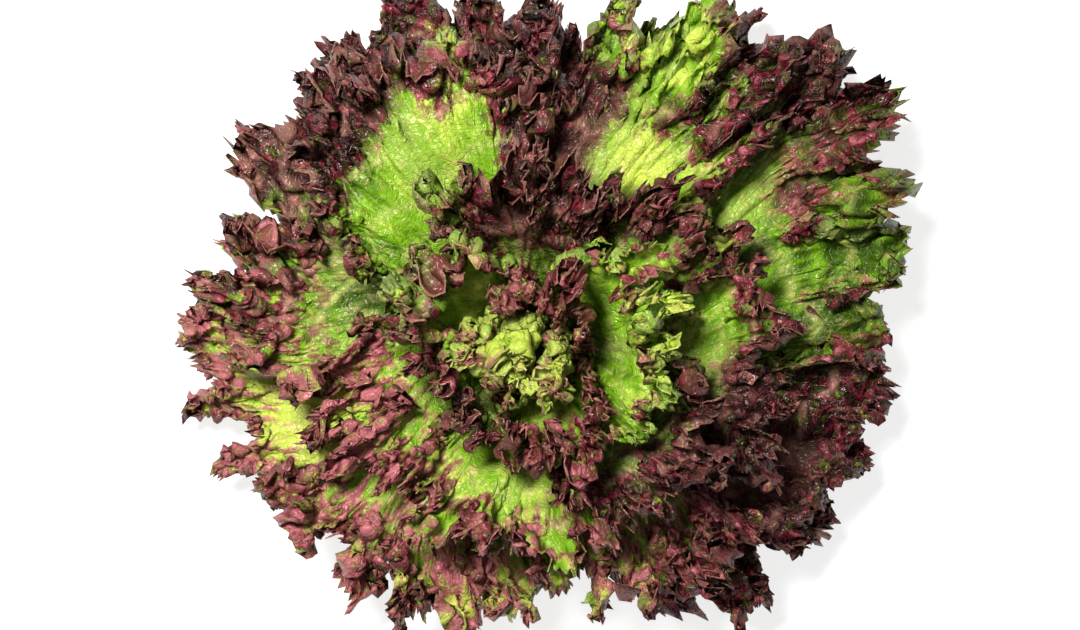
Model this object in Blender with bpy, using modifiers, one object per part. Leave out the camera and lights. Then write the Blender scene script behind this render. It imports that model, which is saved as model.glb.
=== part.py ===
"""A head of red coral lettuce as cut: frilled leaves in a spiral round a short stem.

The head stands on the cut of its stem, with the growing tip up. Each leaf is one
thin solid of its own, and the stem that carries them is another. Metres, +Z up,
origin at the middle of the cut.
"""

import math

import bpy
import numpy as np

# Driving dimensions of the head
HEAD_RADIUS = 0.1390  # mean reach of the outermost leaves from the stem's axis
AXIS_RADIUS = 0.0030  # the innermost margin keeps this far from the axis
DOME_FOOT = 0.0015  # height of the lowest margin
DOME_HEIGHT = 0.1180  # rise from the lowest leaf margin to the highest
SKIRT = 1.3  # above 1 the dome flares at its foot, like a skirt
DOME_ROUNDNESS = 1.05  # 1 is a half ellipse, and above 1 the dome is more pointed
HEART_SINK = 0.0140  # how far the heart sits below the leaves round it
HEART_EDGE = 6  # the higher, the more suddenly the heart sinks
HEAD_SHIFT = (0.005, 0.009)  # the outer leaves lean this far from the stem
HEART_SHIFT = (-0.005, -0.008)  # and the heart this far

# The outline seen from above: (lobes, rise as a share of the radius, azimuth of a lobe)
OUTLINE_WAVES = ((2, 0.035, 15.0), (4, 0.070, 38.0))

# The stem, a short turned cone with a flat cut
STEM_CUT_RADIUS = 0.0165
STEM_WAIST_RADIUS = 0.0180
STEM_HEIGHT = 0.0525
STEM_SIDES = 24
STEM_RINGS = (1.0, 0.97, 0.88, 0.72, 0.5, 0.3, 0.15, 0.06, 0.0)  # shares of the height, tip to cut

# The spiral of leaves, counted from the outermost one
LEAF_COUNT = 26
OUTER_LEAVES = 10
MIDDLE_LEAVES = 9
CLOSING_LEAF = 16  # from here on the leaves crowd together
WRAPPING_LEAF = 18  # from here on the leaves wrap further round the heart
GOLDEN_ANGLE = 137.5077
FIRST_AZIMUTH = 52.0
AZIMUTH_JITTER = 0.8
STEPS_BELOW = 2.2  # steps of the spiral between the floor and the first leaf
STEPS_IN_ALL = 27.9  # steps between the floor and the axis
SEED = 589

# Leaves that stay short, so that the blades behind them show, or reach out further
ODD_LENGTHS = {
    3: 0.94,
    4: 0.98,
    5: 1.12,
    6: 1.05,
    8: 1.13,
    9: 0.80,
    11: 1.10,
    13: 0.88,
    14: 0.72,
    17: 0.86,
    22: 0.92,
}

# Where the leaves leave the stem
LOWEST_BASE = 0.0075
HIGHEST_BASE = 0.0485
BASE_GAP = 0.0005  # at the outermost leaf
HEART_GAP = 0.0014  # at the innermost leaf
LOWEST_SLOPE = 30.0
HIGHEST_SLOPE = 86.0
SLOPE_GROWTH = 0.75  # below 1 the outer leaves soon stand up
BULGE = 0.52  # how far along its length a leaf keeps its first direction

# Half the angle that a leaf's fan covers, and where a nearest neighbour starts to overlap it
HALF_WIDTH = 40.0
CLEAR_ANGLE = 13.0
WRAPPING_HALF_WIDTH = 60.0
CLOSING_CLEAR_ANGLE = 24.0

# Room for frills, in steps of the spiral: on a leaf's flanks and in its middle
FLANK_ROOM = 1.34
MIDDLE_ROOM = 2.40
CLOSING_FLANK_ROOM = 0.90
CLOSING_MIDDLE_ROOM = 1.40

# The blade
BLADE_THICKNESS = 0.0008
OUTER_RIB = 0.0034  # thickness of the midrib at the stem, outermost leaf
INNER_RIB = 0.0012
RIB_HALF_WIDTH = 0.22  # as a share of the blade's half width
SHOULDER = 0.30  # height of the blade's lowest frills, as a share of its length
FAN_WIDTH = 2.4  # above 2 the fan is squarer than a half circle
FAN_SHOULDER = 0.75  # below 1 its corners are fuller
NECK = 0.55  # width of the blade at the stem, as a share of its full angle
OUTER_FRILLS = 10  # full waves round the margin of an outer or a middle leaf
INNER_FRILLS = 8
FRILL_GROWTH = 2.5  # above 1 the wave keeps to the outer part of the blade
FRILL_MEAN = 0.84  # mean height of the wave, as a share of its room
FRILL_SWELL = 0.13  # how much the wave's height changes round the margin
SWELL_TURNS = 3.3
UNEVENNESS = 0.020  # how far frills crowd together, as a share of the margin
LOBE_DEPTH = 0.075  # how far the margin dips between its lobes, as a share of the length
MEANDER = 0.110  # how far a frill's sides lean over, as a share of its width

# Slow bends of the whole head, so that no two leaves are alike:
# (displaced axis, reach, wavelength, direction across the head, phase)
BENDS = (
    (0, 0.0060, 0.130, 70.0, 0.4),
    (0, 0.0035, 0.075, 160.0, 2.1),
    (1, 0.0060, 0.120, 10.0, 1.3),
    (1, 0.0035, 0.080, 110.0, 4.0),
    (2, 0.0045, 0.110, 35.0, 5.2),
)


def smooth_step(low, high, value):
    """0 below low, 1 above high, and an even S between them."""
    share = np.clip((value - low) / (high - low), 0.0, 1.0)
    return share * share * (3.0 - 2.0 * share)


def stem_radius(height):
    """Radius of the stem: a slight waist above the cut, then a blunt cone to the tip."""
    share = np.clip(height / STEM_HEIGHT, 0.0, 1.0)
    foot = STEM_CUT_RADIUS + (STEM_WAIST_RADIUS - STEM_CUT_RADIUS) * smooth_step(0.0, 0.18, share)
    return foot * (1.0 - share**1.9) ** 0.85


def rib_thickness(layer):
    """Thickness of a midrib where it leaves the stem, from outermost (0) to innermost (1)."""
    return OUTER_RIB + (INNER_RIB - OUTER_RIB) * np.clip(layer, 0.0, 1.0) ** 0.7


def outline(azimuth):
    """Reach of the head in a direction, as a share of its mean radius."""
    reach = 1.0
    for lobes, rise, peak in OUTLINE_WAVES:
        reach = reach + rise * np.cos(lobes * (azimuth - math.radians(peak)))
    return reach


def layer_profile(layer, along):
    """A leaf's side view: (distance from the axis, height) for each share along its length.

    Each layer is a quadratic curve from its place on the stem, through a point on its
    first direction, to its margin. The margins of all layers lie on one low dome.
    """
    base_height = LOWEST_BASE + (HIGHEST_BASE - LOWEST_BASE) * layer
    slope = np.radians(LOWEST_SLOPE + (HIGHEST_SLOPE - LOWEST_SLOPE) * np.clip(layer, 0, 1) ** SLOPE_GROWTH)
    gap = BASE_GAP + (HEART_GAP - BASE_GAP) * layer
    base_radius = stem_radius(base_height) + gap + 0.5 * rib_thickness(layer) * np.sin(slope)
    turn = np.clip(layer, 0.0, 1.0) * math.pi / 2
    margin_radius = AXIS_RADIUS + (HEAD_RADIUS - AXIS_RADIUS) * np.cos(turn) ** DOME_ROUNDNESS
    margin_height = DOME_FOOT + DOME_HEIGHT * np.sin(turn) ** SKIRT - HEART_SINK * layer**HEART_EDGE
    chord = np.hypot(margin_radius - base_radius, margin_height - base_height)
    bulge_radius = base_radius + BULGE * chord * np.cos(slope)
    bulge_height = base_height + BULGE * chord * np.sin(slope)
    first, second, third = (1 - along) ** 2, 2 * along * (1 - along), along**2
    radius = first * base_radius + second * bulge_radius + third * margin_radius
    height = first * base_height + second * bulge_height + third * margin_height
    return radius, height, base_radius


def head_point(layer, azimuth, along):
    """A point of the head from its layer (0 outermost, 1 innermost), azimuth and share of length.

    Two leaves whose layers or azimuths differ never meet, because the bends are gentler
    than the distances that they move.
    """
    radius, height, base_radius = layer_profile(layer, along)
    spread = outline(azimuth) ** (1.0 - np.clip(layer, 0.0, 1.0))
    radius = base_radius + (radius - base_radius) * spread
    flat = np.stack([radius * np.cos(azimuth), radius * np.sin(azimuth), height], axis=-1)
    freedom = smooth_step(0.12, 0.95, along)
    moved = flat.copy()
    inward = np.clip(layer, 0.0, 1.0) ** 2
    for axis in (0, 1):
        moved[..., axis] += (HEAD_SHIFT[axis] + (HEART_SHIFT[axis] - HEAD_SHIFT[axis]) * inward) * freedom
    for axis, reach, wavelength, direction, phase in BENDS:
        angle = math.radians(direction)
        across = flat[..., 0] * math.cos(angle) + flat[..., 1] * math.sin(angle) + 0.6 * height
        wave = np.sin(2 * math.pi * across / wavelength + phase)
        lift = 0.5 * (1.0 + wave) if axis == 2 else wave
        moved[..., axis] += reach * freedom * lift
    return moved


def leaf_facts(index, random):
    """Place and size of one leaf of the spiral."""
    turn = FIRST_AZIMUTH + index * GOLDEN_ANGLE + AZIMUTH_JITTER * random.uniform(-1, 1)
    length = ODD_LENGTHS.get(index, 1.0) * (1.0 + 0.04 * random.uniform(-1, 1))
    closing = index >= CLOSING_LEAF
    return {
        "layer": (index + STEPS_BELOW) / STEPS_IN_ALL,
        "azimuth": math.radians(turn),
        "half_width": math.radians(WRAPPING_HALF_WIDTH if index >= WRAPPING_LEAF else HALF_WIDTH),
        "flank_room": (CLOSING_FLANK_ROOM if closing else FLANK_ROOM) / STEPS_IN_ALL,
        "middle_room": (CLOSING_MIDDLE_ROOM if closing else MIDDLE_ROOM) / STEPS_IN_ALL,
        "clear_angle": math.radians(CLOSING_CLEAR_ANGLE if closing else CLEAR_ANGLE),
        "length": length,
        "frills": OUTER_FRILLS if index < OUTER_LEAVES + MIDDLE_LEAVES else INNER_FRILLS,
        "phase": random.uniform(0, 2 * math.pi),
        "swell": random.uniform(0, 2 * math.pi),
    }


def frill_room(facts, azimuth):
    """How far a frill may leave its blade, in layers. A leaf's nearest neighbours overlap
    only its flanks, so its middle has more room. None reaches the floor or the axis."""
    aside = np.abs(azimuth - facts["azimuth"])
    flank = smooth_step(0.2 * facts["clear_angle"], facts["clear_angle"], aside)
    room = facts["middle_room"] + (facts["flank_room"] - facts["middle_room"]) * flank
    return np.minimum(room, min(facts["layer"], 1.0 - facts["layer"]))


def blade_place(facts, side, out):
    """Layer, azimuth and share of length of a blade point, before its frills.

    side runs from -1 to 1 round the fan and out from 0 at the stem to 1 at the margin.
    """
    round_top = (1.0 - np.abs(side) ** FAN_WIDTH) ** FAN_SHOULDER
    reach = facts["length"] * (SHOULDER + (1.0 - SHOULDER) * round_top)
    fan = np.sign(side) * np.sin(math.pi / 2 * np.abs(side) ** 0.9)
    width = fan * (NECK + (1.0 - NECK) * out**0.8)
    return facts["layer"], facts["azimuth"] + facts["half_width"] * width, reach * out


def even_sides(facts):
    """Places round the fan as a function of equal lengths of margin."""
    side = np.linspace(-1, 1, 241)
    margin = head_point(*blade_place(facts, side, np.ones_like(side)))
    lengths = np.linalg.norm(np.diff(margin, axis=0), axis=1)
    share = np.concatenate([[0.0], np.cumsum(lengths)]) / lengths.sum()
    return share, side


def leaf_points(facts, column, out, sides):
    """Points of a frilled blade: column runs from 0 to 1 over evenly many frills.

    The wave grows from nothing at the stem to all the room that the leaf has between
    its neighbours. Its crests are the lobes of the margin, and reach furthest out.
    """
    turn = 2 * math.pi * facts["frills"] * column
    share = column + UNEVENNESS * np.sin(2 * math.pi * column) * np.sin(facts["phase"])
    share = share + UNEVENNESS / 2 * np.sin(6 * math.pi * column) * np.cos(facts["phase"])
    share = share - MEANDER / facts["frills"] * np.sin(2 * turn) * out**3
    side = np.interp(share, *sides)
    swell = FRILL_MEAN + FRILL_SWELL * np.sin(2 * math.pi * SWELL_TURNS * share + facts["swell"])
    lobes = 1.0 - LOBE_DEPTH * np.cos(turn) ** 4 * smooth_step(0.6, 1.0, out)
    layer, azimuth, along = blade_place(facts, side, out * lobes)
    frill = swell * np.sin(turn) * out**FRILL_GROWTH
    return head_point(layer + frill_room(facts, azimuth) * frill, azimuth, along)


def leaf_rows(facts, index):
    """Rows of the blade from the stem to the margin: (share out, number of segments)."""
    margin = 4 * facts["frills"]
    rows = [(0.0, margin // 8), (0.22, margin // 4), (0.47, margin // 2), (0.70, margin)]
    if index < OUTER_LEAVES:
        rows.append((0.86, margin))
    return rows + [(1.0, 2 * margin)]


def fan_faces(counts):
    """Triangles between rows of points, where a row has as many segments as the last or twice."""
    faces = []
    start = 0
    for low, high in zip(counts, counts[1:]):
        above = start + low + 1
        for i in range(low):
            left, right = start + i, start + i + 1
            if high == low:
                faces += [(left, above + i + 1, above + i), (left, right, above + i + 1)]
            else:
                middle = above + 2 * i + 1
                faces += [(left, middle, middle - 1), (left, right, middle), (right, middle + 1, middle)]
        start = above
    return faces


def material(name, color, roughness):
    """A plain finish from the photographed colours."""
    made = bpy.data.materials.new(name)
    made.use_nodes = True
    shader = made.node_tree.nodes["Principled BSDF"]
    shader.inputs["Base Color"].default_value = (*color, 1.0)
    shader.inputs["Roughness"].default_value = roughness
    shader.inputs["Metallic"].default_value = 0.0
    return made


def make_leaf(name, index, facts, finish, collection):
    """One leaf: an open frilled surface, thickened most along its midrib."""
    sides = even_sides(facts)
    rows = leaf_rows(facts, index)
    counts = [segments for _, segments in rows]
    points, weights = [], []
    thickest = float(rib_thickness(facts["layer"]))
    thinnest = BLADE_THICKNESS / thickest
    for out, segments in rows:
        column = np.linspace(0, 1, segments + 1)
        points.append(leaf_points(facts, column, np.full_like(column, out), sides))
        ridge = np.exp(-(((column - 0.5) * 2 / RIB_HALF_WIDTH) ** 2)) * (1 - out) ** 1.3
        weights.append(thinnest + (1 - thinnest) * ridge)
    mesh = bpy.data.meshes.new(name)
    mesh.from_pydata(np.concatenate(points).tolist(), [], fan_faces(counts))
    mesh.update()
    leaf = bpy.data.objects.new(name, mesh)
    collection.objects.link(leaf)
    group = leaf.vertex_groups.new(name="thickness")
    for vertex, weight in enumerate(np.concatenate(weights)):
        group.add([vertex], float(min(weight, 1.0)), "REPLACE")
    skin = leaf.modifiers.new("thickness", "SOLIDIFY")
    skin.thickness = thickest
    skin.offset = 0.0
    skin.vertex_group = group.name
    mesh.materials.append(finish)
    mesh.shade_smooth()
    return leaf


def make_stem(finish, collection):
    """The stem: a turned profile, tip to cut down its outer side, closed on the axis."""
    heights = [STEM_HEIGHT * share for share in STEM_RINGS]
    profile = [(float(stem_radius(height)), 0.0, height) for height in heights] + [(0.0, 0.0, 0.0)]
    profile[0] = (0.0, 0.0, STEM_HEIGHT)
    mesh = bpy.data.meshes.new("stem")
    mesh.from_pydata(profile, [(i, i + 1) for i in range(len(profile) - 1)], [])
    stem = bpy.data.objects.new("stem", mesh)
    collection.objects.link(stem)
    turned = stem.modifiers.new("turned", "SCREW")
    turned.steps = STEM_SIDES
    turned.render_steps = STEM_SIDES
    turned.use_merge_vertices = True
    turned.merge_threshold = 0.0001
    turned.use_smooth_shade = False
    mesh.materials.append(finish)
    return stem


def main():
    """Builds the stem and the spiral of leaves in a collection of their own."""
    for old in list(bpy.data.objects):
        bpy.data.objects.remove(old)
    collection = bpy.data.collections.new("red_coral_lettuce")
    bpy.context.scene.collection.children.link(collection)
    finishes = {
        "outer": material("burgundy_leaf", (0.115, 0.038, 0.034), 0.45),
        "middle": material("russet_leaf", (0.170, 0.085, 0.040), 0.45),
        "inner": material("heart_leaf", (0.290, 0.400, 0.060), 0.45),
    }
    make_stem(material("pale_stem", (0.62, 0.66, 0.42), 0.55), collection)
    random = np.random.default_rng(SEED)
    places = {"outer": 0, "middle": 0, "inner": 0}
    for index in range(LEAF_COUNT):
        ring = "outer" if index < OUTER_LEAVES else "middle"
        if index >= OUTER_LEAVES + MIDDLE_LEAVES:
            ring = "inner"
        places[ring] += 1
        facts = leaf_facts(index, random)
        make_leaf(f"{ring}_leaf_{places[ring]:02d}", index, facts, finishes[ring], collection)


main()
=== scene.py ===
# %% [markdown]
# A head of red coral lettuce, seen from straight above.
#
# A loose lettuce is a short stem with one leaf after another round it, each turned on
# from the last by the golden angle. The outer leaves are the oldest and the largest.
# They lie nearly flat, and the heart stands up. What makes this kind of lettuce look
# like coral is the margin: it grows faster than the blade, so it has to ruffle, and the
# ruffles carry smaller ruffles, down to teeth of a few millimetres.
#
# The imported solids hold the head's stem, leaves and broad frills. This script loads
# them as a fixed frame, and lays a finely ruffled leaf in the place of each.

# %% Load the frame
import math

import bpy
import numpy as np
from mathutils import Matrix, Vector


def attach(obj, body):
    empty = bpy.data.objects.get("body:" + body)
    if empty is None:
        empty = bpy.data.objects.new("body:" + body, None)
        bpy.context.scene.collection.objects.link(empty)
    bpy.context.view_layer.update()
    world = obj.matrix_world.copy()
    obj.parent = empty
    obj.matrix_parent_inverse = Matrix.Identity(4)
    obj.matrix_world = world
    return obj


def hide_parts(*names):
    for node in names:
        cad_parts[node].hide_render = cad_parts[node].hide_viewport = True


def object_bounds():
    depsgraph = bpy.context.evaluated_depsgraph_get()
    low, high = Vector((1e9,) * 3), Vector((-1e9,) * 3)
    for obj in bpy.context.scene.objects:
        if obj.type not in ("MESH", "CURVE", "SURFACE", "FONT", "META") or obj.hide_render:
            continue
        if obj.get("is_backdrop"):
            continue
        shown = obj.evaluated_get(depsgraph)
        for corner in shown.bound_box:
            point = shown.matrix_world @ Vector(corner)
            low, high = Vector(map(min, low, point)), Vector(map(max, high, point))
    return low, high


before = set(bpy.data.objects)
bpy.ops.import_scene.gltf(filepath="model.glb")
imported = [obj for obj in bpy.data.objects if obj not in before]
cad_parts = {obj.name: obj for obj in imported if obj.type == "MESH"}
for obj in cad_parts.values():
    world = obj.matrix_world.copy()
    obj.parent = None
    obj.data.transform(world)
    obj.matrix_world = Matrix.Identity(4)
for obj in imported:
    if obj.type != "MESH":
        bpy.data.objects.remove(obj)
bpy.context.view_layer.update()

# %% [markdown]
# The camera comes first. The photograph looks straight down with a long lens, so the
# head hardly shows any perspective. The scale is that of the outer leaves: the widest
# reach of the head, 280 mm, is 763 pixels of the photograph. The stem's place in the
# picture then fixes the camera over the head.

# %% Camera
PICTURE_WIDTH, PICTURE_HEIGHT = 1080, 630  # pixels of the photograph
METRES_PER_PIXEL = 0.280 / 763
STEM_PIXEL = (533, 338)
OUTLINE_LEVEL = 0.025  # height at which that scale holds
CAMERA_DISTANCE = 1.10
SENSOR_WIDTH = 36.0  # millimetres

camera_data = bpy.data.cameras.new("camera")
camera_data.sensor_width = SENSOR_WIDTH
camera_data.lens = SENSOR_WIDTH * CAMERA_DISTANCE / (PICTURE_WIDTH * METRES_PER_PIXEL)
camera = bpy.data.objects.new("camera", camera_data)
camera.location = (
    (PICTURE_WIDTH / 2 - STEM_PIXEL[0]) * METRES_PER_PIXEL,
    (STEM_PIXEL[1] - PICTURE_HEIGHT / 2) * METRES_PER_PIXEL,
    OUTLINE_LEVEL + CAMERA_DISTANCE,
)
bpy.context.scene.collection.objects.link(camera)
bpy.context.scene.camera = camera
print("the lens is", round(camera_data.lens), "mm")

# %% [markdown]
# All the leaves share one curved space. A point of it has a layer (0 on the floor side,
# 1 at the axis), an azimuth round the stem and a share of the way along a leaf. Each
# layer is a curve from the stem to the margin, and the margins of all layers lie on a
# low dome. Leaves that keep to their own layers can't cross, however the space bends.
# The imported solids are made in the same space, so its sizes are repeated here.

# %% Sizes of the head
HEAD_RADIUS = 0.1390  # metres, as every length here is unless its comment says otherwise
AXIS_RADIUS = 0.0030
DOME_FOOT = 0.0015
DOME_HEIGHT = 0.1180
SKIRT = 1.3  # powers of the dome: over 1, the skirt runs out flat
DOME_ROUNDNESS = 1.05
HEART_SINK = 0.0140
HEART_EDGE = 6
HEAD_SHIFT = (0.005, 0.009)  # the lean of the outer leaves
HEART_SHIFT = (-0.005, -0.008)  # and that of the heart
OUTLINE_WAVES = ((2, 0.035, 15.0), (4, 0.070, 38.0))  # (lobes, rise, azimuth of a peak)
STEM_CUT_RADIUS = 0.0165
STEM_WAIST_RADIUS = 0.0180
STEM_HEIGHT = 0.0525
LOWEST_BASE = 0.0075  # heights at which the leaves leave the stem
HIGHEST_BASE = 0.0485
BASE_GAP = 0.0005
HEART_GAP = 0.0014
LOWEST_SLOPE = 30.0  # degrees at the stem
HIGHEST_SLOPE = 86.0
SLOPE_GROWTH = 0.75
BULGE = 0.52  # a curve's control point is this share of its chord from the stem
OUTER_RIB = 0.0034  # thickness of a midrib at the stem
INNER_RIB = 0.0012
BENDS = (  # (axis, reach, wavelength, direction in degrees, phase)
    (0, 0.0060, 0.130, 70.0, 0.4),
    (0, 0.0035, 0.075, 160.0, 2.1),
    (1, 0.0060, 0.120, 10.0, 1.3),
    (1, 0.0035, 0.080, 110.0, 4.0),
    (2, 0.0045, 0.110, 35.0, 5.2),
)
print("the dome is", round(2000 * HEAD_RADIUS), "mm wide before it is bent")


# %% The curved space of the head
def smooth_step(low, high, value):
    """0 at low, 1 at high, and 3s^2 - 2s^3 of the share s between. It falls if low is the larger."""
    share = np.clip((value - low) / (high - low), 0.0, 1.0)
    return share * share * (3.0 - 2.0 * share)


def stem_radius(height):
    """A slight waist above the cut, then a cone that closes as (1 - share^1.9)^0.85."""
    share = np.clip(height / STEM_HEIGHT, 0.0, 1.0)
    foot = STEM_CUT_RADIUS + (STEM_WAIST_RADIUS - STEM_CUT_RADIUS) * smooth_step(0.0, 0.18, share)
    return foot * (1.0 - share**1.9) ** 0.85


def rib_thickness(layer):
    """Thickness of a midrib where it leaves the stem, falling from the outer leaves inwards."""
    return OUTER_RIB + (INNER_RIB - OUTER_RIB) * np.clip(layer, 0.0, 1.0) ** 0.7


def outline(azimuth):
    """Reach of the head in a direction: 1 plus a few cosines of the azimuth."""
    reach = 1.0
    for lobes, rise, peak in OUTLINE_WAVES:
        reach = reach + rise * np.cos(lobes * (azimuth - math.radians(peak)))
    return reach


def layer_profile(layer, along):
    """Radius and height of a layer: a quadratic curve of three points, stem, bulge and margin."""
    base_height = LOWEST_BASE + (HIGHEST_BASE - LOWEST_BASE) * layer
    steeper = np.clip(layer, 0, 1) ** SLOPE_GROWTH
    slope = np.radians(LOWEST_SLOPE + (HIGHEST_SLOPE - LOWEST_SLOPE) * steeper)
    gap = BASE_GAP + (HEART_GAP - BASE_GAP) * layer
    base_radius = stem_radius(base_height) + gap + 0.5 * rib_thickness(layer) * np.sin(slope)
    turn = np.clip(layer, 0.0, 1.0) * math.pi / 2
    margin_radius = AXIS_RADIUS + (HEAD_RADIUS - AXIS_RADIUS) * np.cos(turn) ** DOME_ROUNDNESS
    margin_height = DOME_FOOT + DOME_HEIGHT * np.sin(turn) ** SKIRT - HEART_SINK * layer**HEART_EDGE
    chord = np.hypot(margin_radius - base_radius, margin_height - base_height)
    bulge_radius = base_radius + BULGE * chord * np.cos(slope)
    bulge_height = base_height + BULGE * chord * np.sin(slope)
    first, second, third = (1 - along) ** 2, 2 * along * (1 - along), along**2
    radius = first * base_radius + second * bulge_radius + third * margin_radius
    height = first * base_height + second * bulge_height + third * margin_height
    return radius, height, base_radius


def head_point(layer, azimuth, along):
    """The layer's curve turned to its azimuth, then shifted and bent by slow sine waves."""
    radius, height, base_radius = layer_profile(layer, along)
    spread = outline(azimuth) ** (1.0 - np.clip(layer, 0.0, 1.0))
    radius = base_radius + (radius - base_radius) * spread
    flat = np.stack([radius * np.cos(azimuth), radius * np.sin(azimuth), height], axis=-1)
    freedom = smooth_step(0.12, 0.95, along)
    moved = flat.copy()
    inward = np.clip(layer, 0.0, 1.0) ** 2
    for axis in (0, 1):
        shift = HEAD_SHIFT[axis] + (HEART_SHIFT[axis] - HEAD_SHIFT[axis]) * inward
        moved[..., axis] += shift * freedom
    for axis, reach, wavelength, direction, phase in BENDS:
        angle = math.radians(direction)
        across = flat[..., 0] * math.cos(angle) + flat[..., 1] * math.sin(angle) + 0.6 * height
        wave = np.sin(2 * math.pi * across / wavelength + phase)
        lift = 0.5 * (1.0 + wave) if axis == 2 else wave
        moved[..., axis] += reach * freedom * lift
    return moved


print("the middle layer ends at", np.round(1000 * head_point(0.5, 0.0, 1.0)), "mm at azimuth 0")

# %% [markdown]
# Each leaf has a place in the spiral, and the room to ruffle that its neighbours leave.
# The draws come from one seeded generator, in the order of the leaves, so the leaves
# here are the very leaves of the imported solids.

# %% The spiral of leaves
LEAF_COUNT = 26
OUTER_LEAVES = 10
MIDDLE_LEAVES = 9
CLOSING_LEAF = 16  # from this leaf on they close over the heart
WRAPPING_LEAF = 18  # and from this one on they wrap it
GOLDEN_ANGLE = 137.5077  # degrees
FIRST_AZIMUTH = 52.0
AZIMUTH_JITTER = 0.8
LENGTH_JITTER = 0.04
STEPS_BELOW = 2.2  # one step of the spiral for each leaf, and some below the first
STEPS_IN_ALL = 27.9
HALF_WIDTHS = (40.0, 60.0)  # degrees: a plain leaf, and one that wraps the heart
FLANK_ROOMS = (1.34, 0.90)  # steps: a plain leaf, and one that closes over the heart
MIDDLE_ROOMS = (2.40, 1.40)
CLEAR_ANGLES = (13.0, 24.0)  # degrees either side of the midrib
FRILLS = {"outer": 10, "middle": 10, "inner": 8}  # broad frills of one leaf
SEED = 589
ODD_LENGTHS = {  # leaves, counted from 0, that are longer or shorter than the rest
    3: 0.94, 4: 0.98, 5: 1.12, 6: 1.05, 8: 1.13, 9: 0.80,
    11: 1.10, 13: 0.88, 14: 0.72, 17: 0.86, 22: 0.92,
}


def ring_of(index):
    """Name of the ring that a leaf belongs to, and its number there."""
    if index < OUTER_LEAVES:
        return "outer", index + 1
    if index < OUTER_LEAVES + MIDDLE_LEAVES:
        return "middle", index + 1 - OUTER_LEAVES
    return "inner", index + 1 - OUTER_LEAVES - MIDDLE_LEAVES


def leaf_facts(index, random):
    """Place and size of one leaf: its layer rises in even steps, its azimuth by the golden angle."""
    turn = FIRST_AZIMUTH + index * GOLDEN_ANGLE + AZIMUTH_JITTER * random.uniform(-1, 1)
    length = ODD_LENGTHS.get(index, 1.0) * (1.0 + LENGTH_JITTER * random.uniform(-1, 1))
    closing = int(index >= CLOSING_LEAF)
    wrapping = int(index >= WRAPPING_LEAF)
    return {
        "index": index,
        "layer": (index + STEPS_BELOW) / STEPS_IN_ALL,
        "azimuth": math.radians(turn),
        "half_width": math.radians(HALF_WIDTHS[wrapping]),
        "flank_room": FLANK_ROOMS[closing] / STEPS_IN_ALL,
        "middle_room": MIDDLE_ROOMS[closing] / STEPS_IN_ALL,
        "clear_angle": math.radians(CLEAR_ANGLES[closing]),
        "length": length,
        "frills": FRILLS[ring_of(index)[0]],
        "phase": random.uniform(0, 2 * math.pi),
        "swell": random.uniform(0, 2 * math.pi),
    }


random = np.random.default_rng(SEED)
leaves = [leaf_facts(index, random) for index in range(LEAF_COUNT)]
print(len(leaves), "leaves, each turned", GOLDEN_ANGLE, "degrees from the last")

# %% [markdown]
# A blade is a fan. A place on it has a column, which runs round the fan from 0 to 1, and
# a share of the way out from the stem. A leaf's own sizes are measured here too, so that
# the ruffles can be given in metres and shrink a little in the small leaves of the heart.

# %% Blade
SHOULDER = 0.30  # share of its length that a leaf still has at its sides
FAN_WIDTH = 2.4  # powers of the fan's round edge
FAN_SHOULDER = 0.75
NECK = 0.55  # width at the stem, as a share of the full width
FULL_REACH = 0.110  # metres along a leaf whose ruffles have their full size
SMALLEST = 0.60  # share of that size in the heart


def blade_place(facts, side, out):
    """Layer, azimuth and share of length. The fan's edge is (1 - side^2.4)^0.75 high."""
    round_top = (1.0 - np.abs(side) ** FAN_WIDTH) ** FAN_SHOULDER
    reach = facts["length"] * (SHOULDER + (1.0 - SHOULDER) * round_top)
    fan = np.sign(side) * np.sin(math.pi / 2 * np.abs(side) ** 0.9)
    width = fan * (NECK + (1.0 - NECK) * np.clip(out, 0.0, 1.0) ** 0.8)
    return facts["layer"], facts["azimuth"] + facts["half_width"] * width, reach * out


def even_sides(facts):
    """Places round the fan for equal lengths of its plain edge, and the leaf's own sizes."""
    side = np.linspace(-1, 1, 241)
    margin = head_point(*blade_place(facts, side, np.ones_like(side)))
    lengths = np.linalg.norm(np.diff(margin, axis=0), axis=1)
    facts["margin_length"] = lengths.sum()
    facts["stations"] = (np.array([0.0, 1.0]), np.array([0.0, lengths.sum()]))
    facts["shares"] = (np.array([0.0, 1.0]), np.array([0.0, 1.0]))
    midline = head_point(facts["layer"], facts["azimuth"], np.linspace(0, facts["length"], 60))
    facts["reach"] = np.linalg.norm(np.diff(midline, axis=0), axis=1).sum()
    facts["size"] = float(np.clip(facts["reach"] / FULL_REACH, SMALLEST, 1.0))
    return np.concatenate([[0.0], np.cumsum(lengths)]) / lengths.sum(), side


first_leaf = dict(leaves[0])
even_sides(first_leaf)
print("the first leaf is", round(1000 * first_leaf["reach"]), "mm long")

# %% [markdown]
# The margin isn't a smooth line: it is cut into lobes, the lobes into fingers, and those
# into teeth. It could be cut out of a finished sheet, but here each cut is a share of
# the leaf's length that the margin falls short of the fan's edge, so the rows of the
# mesh follow it. The cuts come from the absolute value of a sine, which is sharp at
# nought and round at one. Slow waves and noise make them uneven.

# %% Unevenness and lengths along the margin
NOISE_WAVES = 5
NOISE_HEIGHT = 3.2  # a sum of that many waves seldom passes this
FINE_COLUMNS = 2401  # places at which a margin is measured


def frilled_stations(facts):
    """Columns, and the metres of frilled blade before each, measured just inside the margin."""
    column = np.linspace(0, 1, FINE_COLUMNS)
    edge = frilled_blade(facts, column, np.full_like(column, 0.90), cut=0.0)
    steps = np.linalg.norm(np.diff(edge, axis=0), axis=1)
    return column, np.concatenate([[0.0], np.cumsum(steps)])


def frilled_metres(facts, column):
    """Metres along the frilled margin."""
    return np.interp(column, *facts["stations"])


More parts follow.
